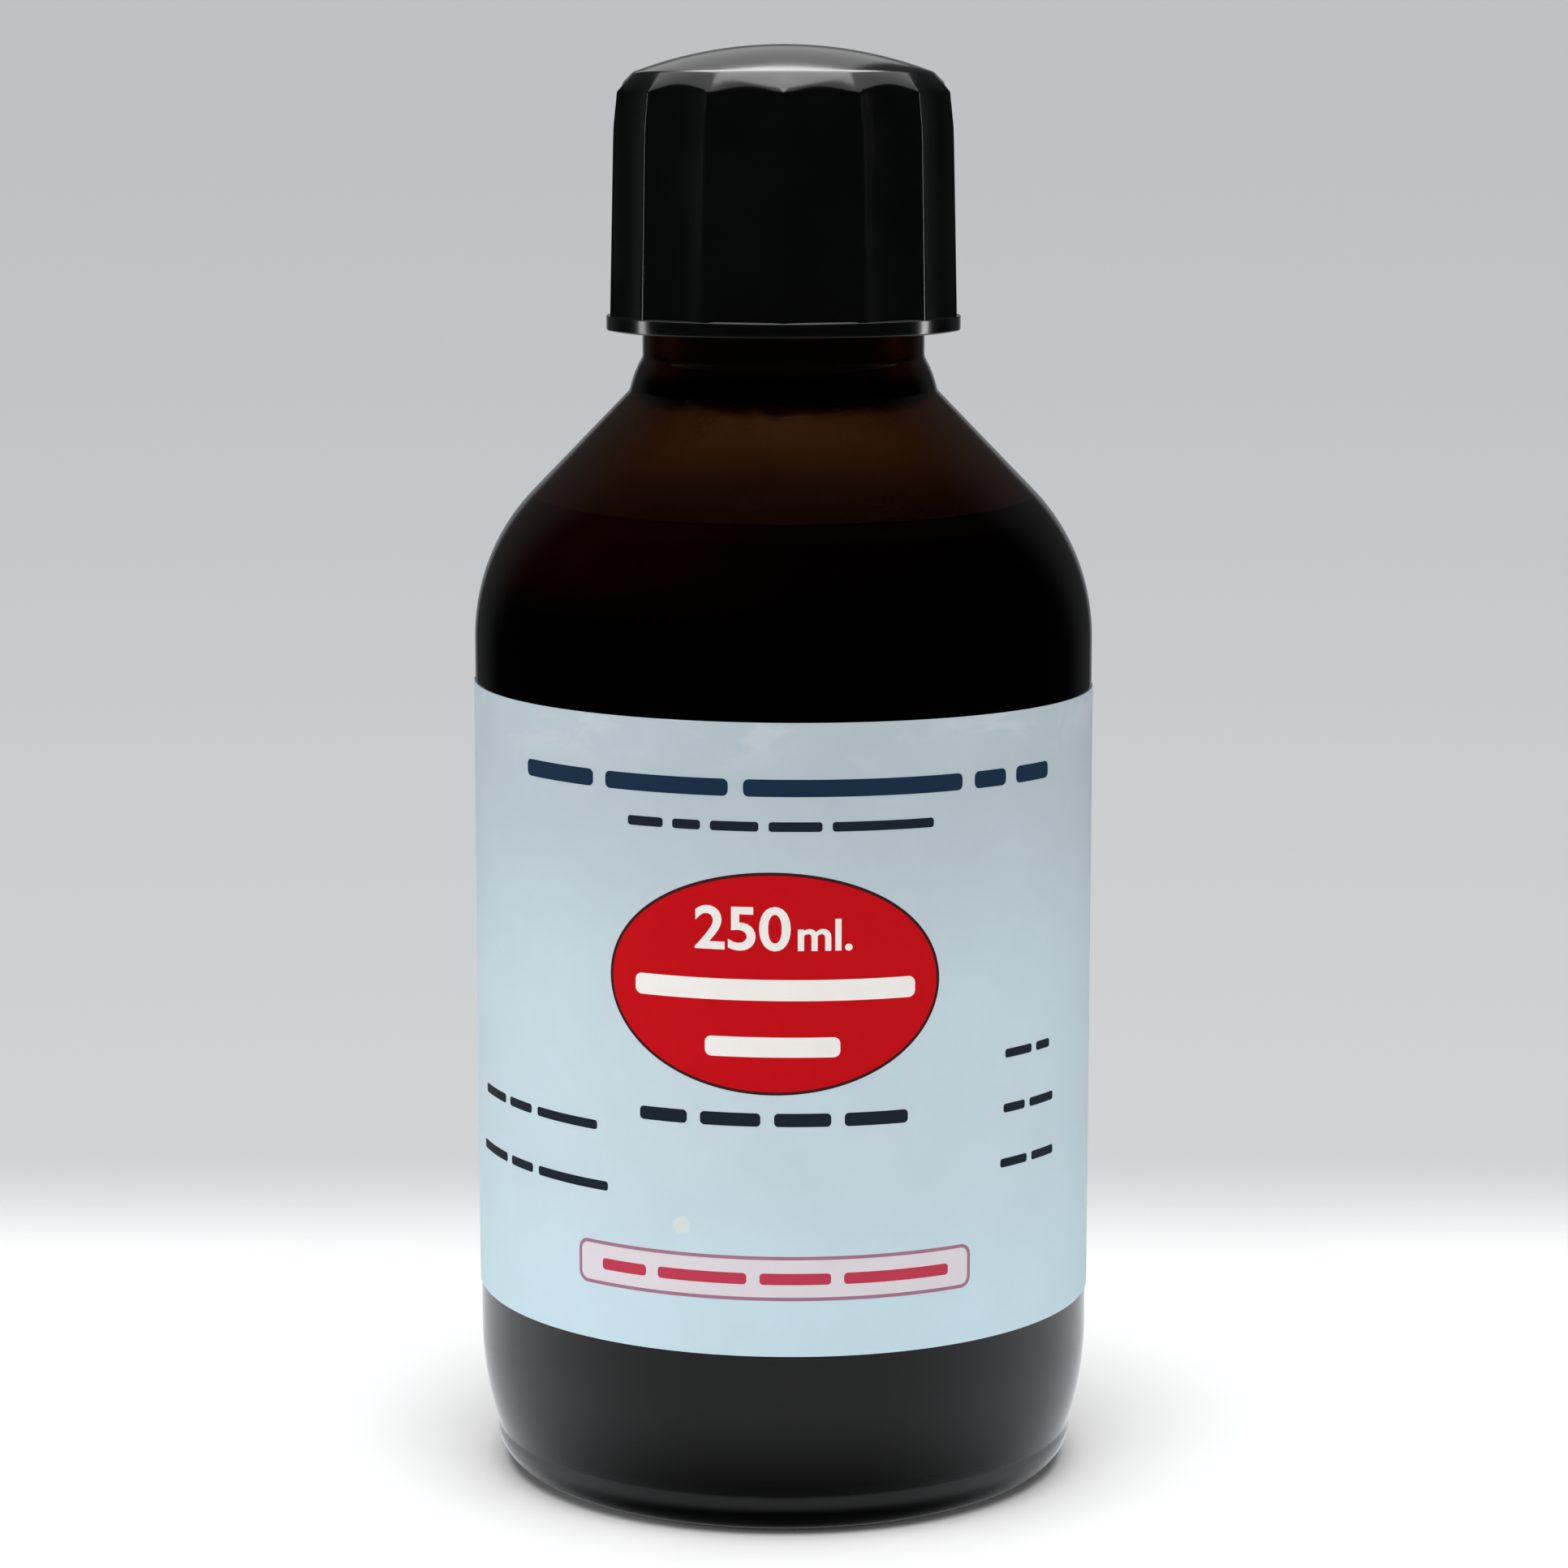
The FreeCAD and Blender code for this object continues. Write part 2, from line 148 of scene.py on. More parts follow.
def turned(path, angles, shape=None):
    """Vertices and faces of a turned solid. The path runs from axis to axis, or is a closed ring clear of the axis.
    shape(r, z, angle) may move the points of the grid."""
    pts = np.array(path, float)
    rows, cols = len(pts), len(angles)
    r = np.repeat(pts[:, 0:1], cols, 1)
    z = np.repeat(pts[:, 1:2], cols, 1)
    a = np.repeat(np.array(angles, float)[None, :], rows, 0)
    if shape is not None:
        r, z = shape(r, z, a)
    verts, index, count = [], np.zeros((rows, cols), int), 0
    for i in range(rows):
        if pts[i, 0] < 1e-6:
            verts.append((0.0, 0.0, float(z[i].mean())))
            index[i, :] = count
            count += 1
        else:
            verts.extend(zip(r[i] * np.cos(a[i]), r[i] * np.sin(a[i]), z[i]))
            index[i, :] = np.arange(count, count + cols)
            count += cols
    ring = pts[0, 0] > 1e-6 and pts[-1, 0] > 1e-6
    faces = []
    for i in range(rows if ring else rows - 1):
        low, high = index[i], index[(i + 1) % rows]
        for j in range(cols):
            k = (j + 1) % cols
            quad = [int(low[j]), int(low[k]), int(high[k]), int(high[j])]
            face = [v for n, v in enumerate(quad) if v not in quad[:n]]
            if len(face) > 2:
                faces.append(face)
    return verts, faces


def thread(angle, z, first, pitch, sweep, crest, root, fade=50.0):
    """From 0 to 1: the height of a screw thread at each angle and level, with ends that run out."""
    turn = np.degrees(angle) % 360.0
    best = np.zeros_like(z)
    for k in range(int(sweep // 360) + 1):
        t = turn + 360.0 * k
        off = np.abs(z - (first + pitch * t / 360.0))
        flank = np.clip((root - off) / (root - crest), 0.0, 1.0)
        flank = 0.5 * flank + 0.5 * flank * flank * (3.0 - 2.0 * flank)
        ends = smoothstep(0.0, fade, t) * smoothstep(0.0, fade, sweep - t)
        best = np.maximum(best, flank * ends)
    return best


# ---------------------------------------------------------------------------
# Node material helpers
# ---------------------------------------------------------------------------
class Nodes:
    """A material's node tree, with short names for the nodes used here."""

    def __init__(self, name):
        self.material = bpy.data.materials.new(name)
        self.material.use_nodes = True
        self.tree = self.material.node_tree
        self.tree.nodes.clear()
        self.out = self.tree.nodes.new("ShaderNodeOutputMaterial")
        self.shader = self.tree.nodes.new("ShaderNodeBsdfPrincipled")
        self.tree.links.new(self.shader.outputs[0], self.out.inputs["Surface"])
        self.place = self.tree.nodes.new("ShaderNodeTexCoord").outputs["Object"]

    def link(self, source, target):
        if isinstance(source, (int, float)):
            target.default_value = source
        elif isinstance(source, (tuple, list)):
            target.default_value = source
        else:
            self.tree.links.new(source, target)

    def set(self, **values):
        for key, value in values.items():
            self.shader.inputs[key.replace("_", " ")].default_value = value

    def noise(self, scale, detail=3.0, rough=0.5, stretch=(1, 1, 1), distort=0.0):
        mapping = self.tree.nodes.new("ShaderNodeMapping")
        mapping.inputs["Scale"].default_value = stretch
        self.link(self.place, mapping.inputs["Vector"])
        n = self.tree.nodes.new("ShaderNodeTexNoise")
        n.inputs["Scale"].default_value = scale
        n.inputs["Detail"].default_value = detail
        n.inputs["Roughness"].default_value = rough
        n.inputs["Distortion"].default_value = distort
        self.link(mapping.outputs[0], n.inputs["Vector"])
        return n.outputs["Fac"]

    def cells(self, scale, feature="F1", stretch=(1, 1, 1)):
        mapping = self.tree.nodes.new("ShaderNodeMapping")
        mapping.inputs["Scale"].default_value = stretch
        self.link(self.place, mapping.inputs["Vector"])
        n = self.tree.nodes.new("ShaderNodeTexVoronoi")
        n.feature = feature
        n.inputs["Scale"].default_value = scale
        self.link(mapping.outputs[0], n.inputs["Vector"])
        return n.outputs["Distance"]

    def ramp(self, source, stops):
        n = self.tree.nodes.new("ShaderNodeValToRGB")
        while len(n.color_ramp.elements) < len(stops):
            n.color_ramp.elements.new(0.5)
        for e, (at, colour) in zip(n.color_ramp.elements, stops):
            e.position = at
            e.color = colour if len(colour) == 4 else (*colour, 1.0)
        self.link(source, n.inputs[0])
        return n.outputs["Color"]

    def range(self, source, lo, hi, to_lo, to_hi, smooth=False):
        n = self.tree.nodes.new("ShaderNodeMapRange")
        n.interpolation_type = "SMOOTHSTEP" if smooth else "LINEAR"
        for key, value in zip(("From Min", "From Max", "To Min", "To Max"), (lo, hi, to_lo, to_hi)):
            n.inputs[key].default_value = value
        self.link(source, n.inputs["Value"])
        return n.outputs["Result"]

    def math(self, kind, a, b=0.0, c=0.0):
        n = self.tree.nodes.new("ShaderNodeMath")
        n.operation = kind
        for socket, value in zip(n.inputs, (a, b, c)):
            self.link(value, socket)
        return n.outputs[0]

    def mix(self, factor, a, b, kind="MIX"):
        n = self.tree.nodes.new("ShaderNodeMix")
        n.data_type = "RGBA"
        n.blend_type = kind
        self.link(factor, n.inputs["Factor"])
        for socket, value in ((n.inputs[6], a), (n.inputs[7], b)):
            self.link((*value, 1.0) if isinstance(value, tuple) and len(value) == 3 else value, socket)
        return n.outputs[2]

    def axis(self, name):
        n = self.tree.nodes.new("ShaderNodeSeparateXYZ")
        self.link(self.place, n.inputs[0])
        return n.outputs[name]

    def bump(self, *layers):
        """layers: (height, depth in metres), laid over each other."""
        normal = None
        for height, depth in layers:
            n = self.tree.nodes.new("ShaderNodeBump")
            n.inputs["Strength"].default_value = 1.0
            n.inputs["Distance"].default_value = depth
            self.link(height, n.inputs["Height"])
            if normal is not None:
                self.link(normal, n.inputs["Normal"])
            normal = n.outputs["Normal"]
        self.link(normal, self.shader.inputs["Normal"])

    def colour(self, source):
        self.link(source, self.shader.inputs["Base Color"])

    def rough(self, source):
        self.link(source, self.shader.inputs["Roughness"])


# ---------------------------------------------------------------------------
# Materials
# ---------------------------------------------------------------------------
def amber_glass():
    """Brown glass. Its inner wall is hazed. It is darkened with painted shade round the neck and just above the liquid
    level, less so on the left. Its foot is darkened with painted contact shade, and is rougher.
    """
    m = Nodes("amber_glass")
    m.set(IOR=1.52, Transmission_Weight=1.0, Metallic=0.0)
    mark = m.tree.nodes.new("ShaderNodeAttribute")
    mark.attribute_name = "inner_wall"
    inner = mark.outputs["Fac"]
    wave = m.noise(34.0, 2.0, 0.4, (1, 1, 0.55))
    peel = m.noise(160.0, 2.0, 0.5)
    smear = m.noise(60.0, 4.0, 0.6, (1, 1, 0.5), 0.6)
    runs = m.noise(130.0, 3.0, 0.55, (1, 1, 0.30), 0.4)
    # Painted shade on the inner wall, with noise-wobbled edges: round the neck under the cap, and above the liquid
    # level, less on the left.
    at = m.math("ADD", m.axis("Z"), m.math("MULTIPLY", m.math("SUBTRACT", runs, 0.5), 0.0022))
    neck_painted_shade = m.math("MULTIPLY", m.range(at, 0.1098, 0.1113, 0.0, 1.0, True),
                       m.range(at, 0.1205, 0.1255, 1.0, 0.30, True))
    level_painted_shade = m.math("MULTIPLY", m.range(at, 0.0975, 0.1056, 1.0, 0.0, True),
                  m.range(m.axis("X"), -0.0270, -0.0040, 0.25, 1.0, True))
    clear_of_painted_shade = m.math("POWER", m.math("SUBTRACT", 1.0, m.math("MAXIMUM", neck_painted_shade, level_painted_shade)), 1.6)
    film = m.math("MULTIPLY", m.math("SUBTRACT", 1.0, clear_of_painted_shade), inner)
    clear = m.mix(m.range(smear, 0.45, 0.75, 0.0, 1.0, True), (1.0, 1.0, 1.0), (0.95, 0.95, 0.94))
    # Painted contact shade: the glass is darker in its lowest 2.8 mm, where it stands on the floor, and rougher there.
    foot_painted_shade = m.range(m.axis("Z"), 0.0010, 0.0028, 1.0, 0.0, True)
    # Painted shade colours: dark red-brown at first, near black where it is strongest.
    inside_painted_shade = m.mix(film, m.mix(film, clear, (0.30, 0.04, 0.025)), (0.006, 0.003, 0.005))
    m.colour(m.mix(foot_painted_shade, inside_painted_shade, (0.06, 0.045, 0.035)))
    rough = m.math("ADD", m.range(smear, 0.45, 0.75, 0.015, 0.06, True), m.math("MULTIPLY", inner, 0.24))
    m.rough(m.math("ADD", rough, m.math("MULTIPLY", foot_painted_shade, 0.38)))
    m.bump((wave, 0.00022), (peel, 0.000012))
    volume = m.tree.nodes.new("ShaderNodeVolumeAbsorption")
    volume.inputs["Color"].default_value = (0.45, 0.235, 0.0, 1.0)
    volume.inputs["Density"].default_value = 830.0
    m.tree.links.new(volume.outputs[0], m.out.inputs["Volume"])
    return m.material


def black_plastic():
    m = Nodes("cap_black")
    m.set(IOR=1.5, Metallic=0.0)
    cloud = m.noise(70.0, 3.0, 0.55)
    grain = m.noise(2600.0, 2.0, 0.5)
    scuff = m.noise(420.0, 4.0, 0.65, (1, 1, 0.12), 0.4)
    m.colour(m.ramp(cloud, [(0.3, (0.0014, 0.0016, 0.0016)), (0.7, (0.0024, 0.0026, 0.0026))]))
    worn = m.range(scuff, 0.58, 0.76, 0.0, 0.05, True)
    m.rough(m.math("ADD", m.range(cloud, 0.3, 0.7, 0.11, 0.16), worn))
    m.bump((grain, 0.0000012), (cloud, 0.00002))
    return m.material


def dark_liquid(name, level):
    m = Nodes(name)
    m.set(IOR=1.36, Metallic=0.0)
    m.shader.inputs["Specular IOR Level"].default_value = level
    cloud = m.noise(90.0, 3.0, 0.55)
    drift = m.noise(45.0, 2.0, 0.5)
    body = m.ramp(cloud, [(0.3, (0.0010, 0.0005, 0.0011)), (0.7, (0.0024, 0.0010, 0.0022))])
    # Painted light: the liquid's top is lighter and redder towards the upper left, standing for light seen through the
    # shoulder on that side.
    upper = m.range(m.axis("Z"), 0.0900, 0.0990, 0.0, 1.0, True)
    side = m.range(m.axis("X"), -0.0240, 0.0040, 1.0, 0.08, True)
    upper_left_painted_light = m.math("MULTIPLY", m.math("MULTIPLY", upper, side), m.range(drift, 0.3, 0.7, 0.55, 1.0, True))
    m.colour(m.mix(upper_left_painted_light, body, (0.42, 0.070, 0.060)))
    m.rough(m.range(cloud, 0.3, 0.7, 0.03, 0.06))
    return m.material


def foam():
    m = Nodes("liner_foam")
    m.set(IOR=1.45, Metallic=0.0)
    pores = m.cells(2600.0)
    cloud = m.noise(240.0, 3.0)
    m.colour(m.mix(m.range(pores, 0.1, 0.6, 0.0, 1.0), (0.60, 0.60, 0.57), (0.82, 0.82, 0.79)))
    m.rough(m.range(cloud, 0.3, 0.7, 0.72, 0.88))
    m.bump((pores, 0.00006), (cloud, 0.00004))
    return m.material


def film():
    m = Nodes("liner_film")
    m.set(IOR=1.38, Metallic=0.0)
    cloud = m.noise(180.0, 3.0)
    fine = m.noise(1800.0, 2.0)
    m.colour(m.ramp(cloud, [(0.3, (0.80, 0.80, 0.77)), (0.7, (0.88, 0.88, 0.86))]))
    m.rough(m.range(cloud, 0.3, 0.7, 0.30, 0.44))
    m.bump((fine, 0.000004), (cloud, 0.00003))
    return m.material


def paper(name, tone, gloss=0.0, shine=0.2):
    """Printed paper: a tone mottled by fibres and broad patches."""
    m = Nodes(name)
    m.set(IOR=1.45, Metallic=0.0, Specular_IOR_Level=shine)
    fibre = m.noise(1500.0, 3.0, 0.6, (1, 1, 0.45))
    mottle = m.noise(120.0, 4.0, 0.6)
    broad = m.noise(26.0, 2.0, 0.5)
    base = m.mix(m.range(mottle, 0.3, 0.7, 0.0, 1.0), tuple(0.96 * c for c in tone), tone)
    base = m.mix(m.range(fibre, 0.35, 0.65, 0.06, 0.0), base, tuple(0.86 * c for c in tone))
    base = m.mix(m.range(broad, 0.35, 0.65, 0.0, 0.10, True), base, tuple(c * f for c, f in zip(tone, (0.92, 0.94, 0.97))))
    m.colour(base)
    m.rough(m.range(mottle, 0.3, 0.7, 0.52 - gloss, 0.64 - gloss))
    m.bump((fibre, 0.000006), (broad, 0.00012))
    return m, base


def label_stock():
    m, base = paper("label_paper", (0.545, 0.660, 0.722))
    # A pale dried drop low on the left, and a soft paler veil in patches across the top.
    drop = m.tree.nodes.new("ShaderNodeVectorMath")
    drop.operation = "DISTANCE"
    m.link(m.place, drop.inputs[0])
    a = -math.pi / 2 - 10.25 / 32.1
    drop.inputs[1].default_value = (0.0321 * math.cos(a), 0.0321 * math.sin(a), 0.0322)
    wobble = m.noise(900.0, 2.0)
    reach = m.math("ADD", drop.outputs["Value"], m.math("MULTIPLY", m.math("SUBTRACT", wobble, 0.5), 0.0008))
    ring = m.math("MULTIPLY", m.range(reach, 0.00105, 0.00075, 0.0, 1.0, True), 0.55)
    base = m.mix(ring, base, (0.70, 0.735, 0.66))
    smear = m.noise(120.0, 3.0, 0.6, (1, 1, 2.2), 0.8)
    top = m.range(m.axis("Z"), 0.0765, 0.0815, 0.0, 1.0, True)
    veil = m.math("MULTIPLY", m.range(smear, 0.48, 0.62, 0.0, 0.45, True), top)
    base = m.mix(veil, base, (0.68, 0.76, 0.80))
    # Painted shade and light: the paper is greyer towards the top, and brighter and bluer towards the foot, as if lit
    # by light bounced from the floor.
    top_painted_shade = m.range(m.axis("Z"), 0.050, 0.078, 0.0, 1.0, True)
    base = m.mix(top_painted_shade, base, (0.85, 0.825, 0.815), "MULTIPLY")
    foot_painted_bounce_light = m.range(m.axis("Z"), 0.040, 0.022, 0.0, 1.0, True)
    base = m.mix(foot_painted_bounce_light, base, (1.02, 1.08, 1.09), "MULTIPLY")
    m.colour(base)
    return m.material


def ink(name, tone):
    return paper(name, tone, gloss=0.08, shine=0.07)[0].material


# ---------------------------------------------------------------------------
# Glass bottle
# ---------------------------------------------------------------------------
THREAD_STEP = 0.15
SHOULDER = (10.25, 87.3)

outer_low = joined(
    dome(23.6, 0.0, 2.4, 12),
)
heel_and_shoulder = joined(
    [(26.7, 0.0)],
    arc((26.7, 3.7), 3.7, -90.0, -10.9, 4.0),
    [(30.333, 3.0), (30.345, 3.5), (30.34, 4.05)],
    arc((-2.05, 14.5), 34.0, -17.8, 0.0, 0.8),
    line((31.95, 14.5), (31.95, 87.3), 4.0),
    arc(SHOULDER, 21.7, 0.0, 44.2, 1.5),
    line((25.81, 102.43), (15.78, 112.75), 1.5),
    arc((3.61, 114.0), 12.23, -5.85, 10.0, 0.8)[:1],
)


def bead(rows):
    """The convex swelling between the shoulder's crease and the straight neck."""
    # Circle of radius 10.9 through (15.78, 112.75) and (14.45, 116.15), bulging outwards.
    p, q, big = np.array([15.78, 112.75]), np.array([14.45, 116.15]), 10.9
    mid, gap = (p + q) / 2, np.linalg.norm(q - p)
    across = np.array([-(q - p)[1], (q - p)[0]]) / gap
    centre = mid + across * math.sqrt(big ** 2 - (gap / 2) ** 2)
    a0 = math.atan2(*(p - centre)[::-1])
    a1 = math.atan2(*(q - centre)[::-1])
    return [tuple(centre + big * np.array([math.cos(a), math.sin(a)])) for a in np.linspace(a0, a1, rows + 1)]


rise = eased(joined(heel_and_shoulder[:-1], bead(12), line((14.45, 116.15), (14.45, 127.4), 0.5)))
rise = thinned(rise, 0.003, 2.6)
knurl = line((23.6, 0.0), (26.7, 0.0), 0.31)
neck = line((14.45, 127.4), (14.45, 138.3), THREAD_STEP)
rim = joined(
    arc((14.1 - 0.0, 138.45), 0.35, 0.0, 90.0, 30.0)[:1],
    eased(joined([(14.45, 138.3), (14.1, 139.1), (14.1, 140.3)], arc((13.1, 140.3), 1.0, 0.0, 90.0, 9.0),
                 [(12.2, 141.3)], arc((12.2, 140.1), 1.2, 90.0, 180.0, 9.0), [(11.0, 138.0)]), 0.05, 0.12)[::5],
)
inside = joined(
    line((11.0, 138.0), (11.0, 115.96), 2.5),
    arc((16.0, 115.96), 5.0, 180.0, 224.2, 4.0),
    line((12.415, 112.475), (23.94, 100.62), 1.5),
    arc(SHOULDER, 19.1, 44.2, 0.0, 2.0),
    line((29.35, 87.3), (29.35, 14.0), 9.0),
    arc((19.75, 14.0), 9.6, 0.0, -90.0, 4.0),
    dome(19.75, 4.4, 6.2, 10)[::-1],
)
glass_path = joined(outer_low, knurl, rise, neck, rim, inside)
inner_from = len(joined(outer_low, knurl, rise, neck, rim)) - 1

step = TAU / 240
glass_angles = [i * step for i in range(240)]
for seam in (0.0, math.pi):
    glass_angles += [seam + s * math.radians(d) for d in (0.12, 0.25, 0.45, 0.8) for s in (1, -1)]
glass_angles = sorted({round(a % TAU, 9) for a in glass_angles})


def ripple(a, z, scale):
    """A slow seeded unevenness, between -1 and 1, the same on every run."""
    return (np.sin(2 * a + 0.043 * z * scale + 0.6) * 0.4 + np.sin(3 * a - 0.071 * z * scale + 2.1) * 0.35
            + np.sin(5 * a + 0.11 * z * scale + 4.0) * 0.25)


def blown(r, z, a):
    rows = np.arange(len(r))[:, None]
    outside = (rows < inner_from) & (r > 1e-6)
    # Screw thread round the neck.
    on_neck = outside & (z > 127.0) & (z < 138.9) & (r > 14.0)
    bump = thread(a, z, 130.2, 4.0, 630.0, 0.45, 1.15)
    r = np.where(on_neck, r + 1.08 * bump, r)
    # Faint mould seams down both sides, and a knurled bearing ring.
    off = np.minimum(np.abs((a + math.pi) % TAU - math.pi), np.abs(a - math.pi)) * r
    seam = np.exp(-(off / 0.13) ** 2) * smoothstep(4.5, 8.0, z) * (1 - smoothstep(126.0, 129.0, z))
    r = np.where(outside, r + 0.035 * seam, r)
    flash = np.exp(-((z - 3.55) / 0.22) ** 2) * (0.15 + 0.85 * np.abs(np.cos(a)) ** 3)
    r = np.where(outside & (z > 2.6) & (z < 4.5), r + 0.14 * flash, r)
    ring = outside & (z < 0.01) & (r > 23.7) & (r < 26.6)
    fade = smoothstep(23.6, 24.2, r) * (1 - smoothstep(26.1, 26.7, r))
    z = np.where(ring, z + 0.14 * fade * (0.5 - 0.5 * np.cos(60 * a)), z)
    # The inner wall above the liquid is a little uneven, as blown glass is.
    inner = (rows >= inner_from) & (r > 1e-6) & (z > 100.0) & (z < 137.0)
    lift = smoothstep(101.0, 105.0, z) * (1 - smoothstep(132.0, 136.5, z))
    r = np.where(inner, r + 0.10 * lift * ripple(a, z, 1.0), r)
    return r, z


glass = new_object("bottle_glass_body", *turned(glass_path, glass_angles, blown), "bottle", "amber_glass",
                   amber_glass(), "bottle_glass")
wall = glass.data.attributes.new("inner_wall", "FLOAT", "POINT")
cols = len(glass_angles)
on_axis = [1 if r < 1e-6 else cols for r, z in glass_path]
wall.data.foreach_set("value", np.repeat((np.arange(len(glass_path)) >= inner_from).astype(np.float32), on_axis))


# ---------------------------------------------------------------------------
# Stain solution: a dark liquid wetting the wall, with a small meniscus
# ---------------------------------------------------------------------------
WET = 0.05
LEVEL = 100.0
wall_r = 24.55
liquid_path = joined(
    [(r, z - WET) for r, z in dome(19.75, 4.4, 6.2, 10)],
    arc((19.75, 14.0), 9.6 + WET, -90.0, 0.0, 4.0),
    line((29.35 + WET, 14.0), (29.35 + WET, 87.3), 9.0),
    arc(SHOULDER, 19.1 + WET, 0.0, 43.2, 2.0),
)
brim = liquid_path[-1]
side_rows = len(liquid_path)
top = [(brim[0] - 0.02, brim[1] + 0.12)]
for i in range(1, 13):
    d = 4.2 * (i / 12.0) ** 1.6
    top.append((brim[0] - 0.02 - d, LEVEL + 0.42 + (brim[1] + 0.12 - LEVEL - 0.42) * math.exp(-d / 0.9)))
flat = top[-1]
top += [(flat[0] * (1 - i / 8.0), LEVEL + 0.42 + (flat[1] - LEVEL - 0.42) * (1 - i / 8.0)) for i in range(1, 9)]
liquid_path = joined(liquid_path, top)
liquid_angles = [i * TAU / 180 for i in range(180)]
liquid = new_object("stain_liquid", *turned(liquid_path, liquid_angles), "bottle", "stain_liquid",
                    dark_liquid("stain_liquid_wall", 0.04), "stain_solution")
liquid.data.materials.append(dark_liquid("stain_liquid_surface", 0.5))
for p in liquid.data.polygons:
    if p.normal.z > 0.25 and p.center.z > 0.099:
        p.material_index = 1


# ---------------------------------------------------------------------------
# Screw cap
# ---------------------------------------------------------------------------
RIBS = 14
FLUTE_AXIS, FLUTE_R, FLUTE_GROW = 45.43, 28.0, 0.675 / 27.0
LEDGE, FLUTE_FOOT = 120.4, 120.7


def flute(a, z):
    """Radius of the flute's face at each angle and level."""
    d = (a + math.pi / RIBS) % (TAU / RIBS) - math.pi / RIBS
    cut = FLUTE_R + FLUTE_GROW * (z - FLUTE_FOOT) + 0.30 * smoothstep(138.5, 143.6, z)
    return FLUTE_AXIS * np.cos(d) - np.sqrt(np.maximum(cut ** 2 - (FLUTE_AXIS * np.sin(d)) ** 2, 0.0))


cap_inside = joined(
    dome(11.5, 144.35, 145.9, 8),
    eased(joined(line((11.5, 144.35), (11.5, 143.45), 0.3), line((11.5, 143.45), (15.0, 143.45), 0.7),
                 line((15.0, 143.45), (15.0, 141.25), 0.5), line((15.0, 141.25), (14.6, 140.85), 0.3),
                 line((14.6, 140.85), (14.6, 140.25), 0.3), line((14.6, 140.25), (15.0, 139.85), 0.3),
                 line((15.0, 139.85), (15.95, 138.9), 0.4), [(15.95, 138.5)]), 0.03, 0.07)[::6],
    line((15.95, 138.5), (15.95, 120.5), 0.2),
    eased(joined([(15.95, 120.5), (15.95, 120.3)], line((15.95, 120.3), (16.6, 118.9), 0.4), line((16.6, 118.9), (17.6, 118.9), 0.3)), 0.03, 0.07)[::6],
)
cap_bottom = joined([(17.6, 118.9)], arc((17.99, 119.08), 0.18, -90.0, 0.0, 15.0), line((18.17, 119.08), (18.17, LEDGE - 0.10), 0.4),
                    arc((18.07, LEDGE - 0.10), 0.10, 0.0, 90.0, 15.0))
ledge_rows = 4        # from the ledge's edge in to the foot of the ribs, with a small fillet
foot = 0.10
FOOT_R, HEAD_R = 18.09, 17.66
crown = eased(joined([(HEAD_R + 0.02, 141.1), (HEAD_R, 142.1)], arc((HEAD_R - 1.3, 142.1), 1.3, 0.0, 45.0, 5.0)[1:],
                     dome(15.32, 145.0, 147.8, 24)[::-1]), 0.04, 0.16)
cap_side = joined(line((FOOT_R, LEDGE + foot), (HEAD_R + 0.02, 141.1), 1.6), thinned(crown, 0.004, 1.3))
cap_path = joined(cap_inside, cap_bottom)
first_ledge = len(cap_path)
cap_path += [(FOOT_R + 0.001 * i, LEDGE) for i in range(ledge_rows)]
first_side = len(cap_path)
cap_path += cap_side
inner_rows = len(cap_inside)

half = 180.0 / RIBS
steps = [i * 1.4 for i in range(-8, 9)]
steps += [s * d for d in (11.45, 11.65, 11.85, 12.05, 12.3, 12.55) for s in (1, -1)] + [half]
cap_angles = sorted({round(math.radians(k * 360.0 / RIBS + d) % TAU, 9) for k in range(RIBS) for d in steps})


def moulded(r, z, a):
    rows = np.arange(len(r))[:, None]
    # Inner screw thread.
    bump = thread(a, z, 128.69, 4.0, 540.0, 0.40, 1.00)
    r = np.where((rows < inner_rows) & (r > 15.0) & (z < 138.8) & (z > 119.5), r - 1.08 * bump, r)
    # Flutes between the ribs, from the ledge up into the rounded top edge.
    side = soft_min(r, flute(a, z), 0.16)
    r = np.where((rows >= first_side) & (r > 1e-6), side, r)
    # The ledge under them, which ends in a small fillet at the foot of each flute.
    foot_r = soft_min(np.full_like(r, FOOT_R), flute(a, np.full_like(z, LEDGE)), 0.16)
    k = rows - first_ledge
    r = np.where(k == 0, 18.07 - 0.30 * (18.07 - foot_r), r)
    r = np.where(k == 1, foot_r + np.minimum(foot, 0.40 * (18.07 - foot_r)), r)
    r = np.where(k == 2, foot_r + np.minimum(0.35 * foot, 0.2 * (18.07 - foot_r)), r)
    z = np.where(k == 2, LEDGE + 0.25 * foot, z)
    r = np.where(k == 3, foot_r + np.minimum(0.08 * foot, 0.1 * (18.07 - foot_r)), r)
    z = np.where(k == 3, LEDGE + 0.60 * foot, z)
    return r, z


cap = new_object("screw_cap_shell", *turned(cap_path, cap_angles, moulded), "cap", "cap_black", black_plastic(), "screw_cap")


# ---------------------------------------------------------------------------
# Liner: foam wad and its film, which carries the print of the glass rim
# ---------------------------------------------------------------------------
disc_angles = [i * TAU / 144 for i in range(144)]
backing_path = joined(
    [(r, 141.6) for r in np.linspace(0.0, 14.6, 12)],
    [(14.75, 141.63), (14.83, 141.70), (14.85, 141.80)],
    line((14.85, 141.80), (14.85, 143.20), 0.35),
    [(14.83, 143.30), (14.75, 143.37), (14.6, 143.40)],
    [(r, 143.40) for r in np.linspace(14.2, 0.0, 12)],
)


def squeezed(r, z, a):
    bulge = 0.02 * np.sin(7 * a + 1.0) * (r > 14.7)
    return r - np.abs(bulge), z


